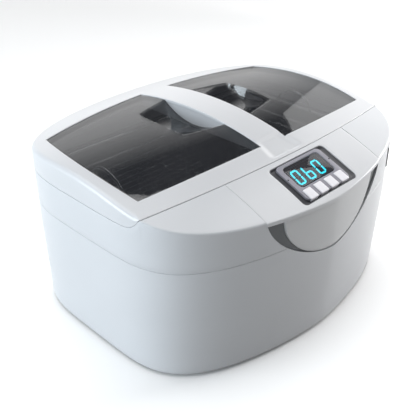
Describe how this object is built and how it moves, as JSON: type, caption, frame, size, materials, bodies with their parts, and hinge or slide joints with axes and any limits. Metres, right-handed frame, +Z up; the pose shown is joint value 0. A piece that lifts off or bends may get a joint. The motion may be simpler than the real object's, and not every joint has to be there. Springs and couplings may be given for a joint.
{
  "type": "ultrasonic cleaner",
  "caption": "Bench ultrasonic cleaner: white bowed casing, hinged lid with smoked windows and a grip bridge, steel tank with wire basket, and a sloping panel with display and push buttons.",
  "frame": {"origin": "on the supporting surface, below the centre of the overall box", "axes": "+Z up, -Y towards the control panel at the front, +X to the right seen from the front"},
  "size_m": [0.295, 0.2504, 0.162],
  "materials": {
    "lid_plastic": "white moulded ABS, soft gloss",
    "smoked_window": "clear smoked acrylic, polished",
    "casing_plastic": "white moulded ABS, soft gloss",
    "cover_plastic": "white moulded ABS, soft gloss",
    "badge_plastic": "light grey moulded ABS, satin",
    "dark_trim": "dark grey moulded ABS, satin",
    "base_plastic": "light grey moulded ABS, fine texture",
    "foot_rubber": "matt moulded rubber",
    "screw_steel": "zinc plated steel",
    "bezel_plastic": "dark grey moulded ABS, satin",
    "plate_plastic": "purple-grey moulded ABS, satin",
    "display_lens": "dark tinted acrylic, polished",
    "display_body": "black potted display module",
    "digit_light": "lit cyan display segments",
    "indicator_dark": "dark unlit lamp",
    "button_plastic": "white moulded keycap, satin",
    "switch_plastic": "black tactile switch",
    "circuit_board": "green solder mask",
    "ribbon_plastic": "grey flat cable",
    "tank_steel": "deep drawn stainless steel, semi-bright",
    "gasket_rubber": "translucent white silicone",
    "basket_wire": "polished stainless wire",
    "horn_aluminium": "turned aluminium",
    "piezo_ceramic": "fired grey-brown piezo ceramic",
    "electrode_brass": "thin brass sheet",
    "mass_steel": "turned steel",
    "heater_silicone": "orange-red silicone heater pad",
    "component_plastic": "black moulded plastic",
    "inlet_plastic": "black moulded nylon",
    "pin_brass": "nickel plated brass",
    "mains_insulation": "dark PVC insulation",
    "red_insulation": "red PVC insulation",
    "yellow_insulation": "yellow PVC insulation"
  },
  "bodies": {
    "cabinet": {"hinge_pins": "screw_steel", "hinge_brackets": "casing_plastic", "upper_casing": "casing_plastic", "lower_casing": "casing_plastic", "control_cover": "cover_plastic", "crescent_trim": "dark_trim", "badge_panel": "badge_plastic", "side_vent_grille": "dark_trim", "base_plate": "base_plastic", "front_left_foot": "foot_rubber", "front_right_foot": "foot_rubber", "rear_left_foot": "foot_rubber", "rear_right_foot": "foot_rubber", "base_screws": "screw_steel", "casing_screws": "screw_steel", "control_bezel": "bezel_plastic", "display_plate": "plate_plastic", "display_window": "display_lens", "led_display": "display_body", "display_digits": "digit_light", "indicator_lights": "indicator_dark", "tactile_switches": "switch_plastic", "control_board": "circuit_board", "control_board_screws": "screw_steel", "control_ribbon": "ribbon_plastic", "tank": "tank_steel", "tank_gasket": "gasket_rubber", "left_transducer_horn": "horn_aluminium", "right_transducer_horn": "horn_aluminium", "piezo_rings": "piezo_ceramic", "transducer_electrodes": "electrode_brass", "left_back_mass": "mass_steel", "right_back_mass": "mass_steel", "transducer_bolts": "screw_steel", "heater_pad": "heater_silicone", "thermal_cutout": "mass_steel", "driver_board": "circuit_board", "board_components": "component_plastic", "heat_sink": "horn_aluminium", "driver_board_screws": "screw_steel", "fan_frame": "component_plastic", "ac_inlet": "inlet_plastic", "inlet_pins": "pin_brass", "mains_lead": "mains_insulation", "transducer_lead": "red_insulation", "fan_lead": "yellow_insulation"},
    "lid": {"lid_frame": "lid_plastic", "left_lid_window": "smoked_window", "right_lid_window": "smoked_window", "lid_hinge_arms": "lid_plastic"},
    "basket": {"basket_mesh": "basket_wire", "basket_frame": "basket_wire", "left_basket_handle": "basket_wire", "right_basket_handle": "basket_wire"},
    "fan_rotor": {"fan_rotor": "component_plastic"},
    "start_button": {"start_button": "button_plastic"},
    "stop_button": {"stop_button": "button_plastic"},
    "timer_button": {"timer_button": "button_plastic"},
    "heat_button": {"heat_button": "button_plastic"}
  },
  "joints": [
    {"name": "lid_hinge", "type": "hinge", "parent": "cabinet", "child": "lid", "pos_m": [0, 0.1212, 0.131], "axis": [-1, 0, 0], "range_deg": [0, 95]},
    {"name": "basket_lift", "type": "slide", "parent": "cabinet", "child": "basket", "axis": [0, 0, 1], "range_m": [0, 0.004]},
    {"name": "fan_spin", "type": "hinge", "parent": "cabinet", "child": "fan_rotor", "pos_m": [-0.05, 0.0935, 0.048], "axis": [0, 1, 0], "continuous": true},
    {"name": "start_press", "type": "slide", "parent": "cabinet", "child": "start_button", "axis": [0, 0.3665, -0.9304], "range_m": [0, 0.0008], "stiffness_N_per_m": 400},
    {"name": "stop_press", "type": "slide", "parent": "cabinet", "child": "stop_button", "axis": [0, 0.3665, -0.9304], "range_m": [0, 0.0008], "stiffness_N_per_m": 400},
    {"name": "timer_press", "type": "slide", "parent": "cabinet", "child": "timer_button", "axis": [0, 0.3665, -0.9304], "range_m": [0, 0.0008], "stiffness_N_per_m": 400},
    {"name": "heat_press", "type": "slide", "parent": "cabinet", "child": "heat_button", "axis": [0, 0.3665, -0.9304], "range_m": [0, 0.0008], "stiffness_N_per_m": 400}
  ]
}
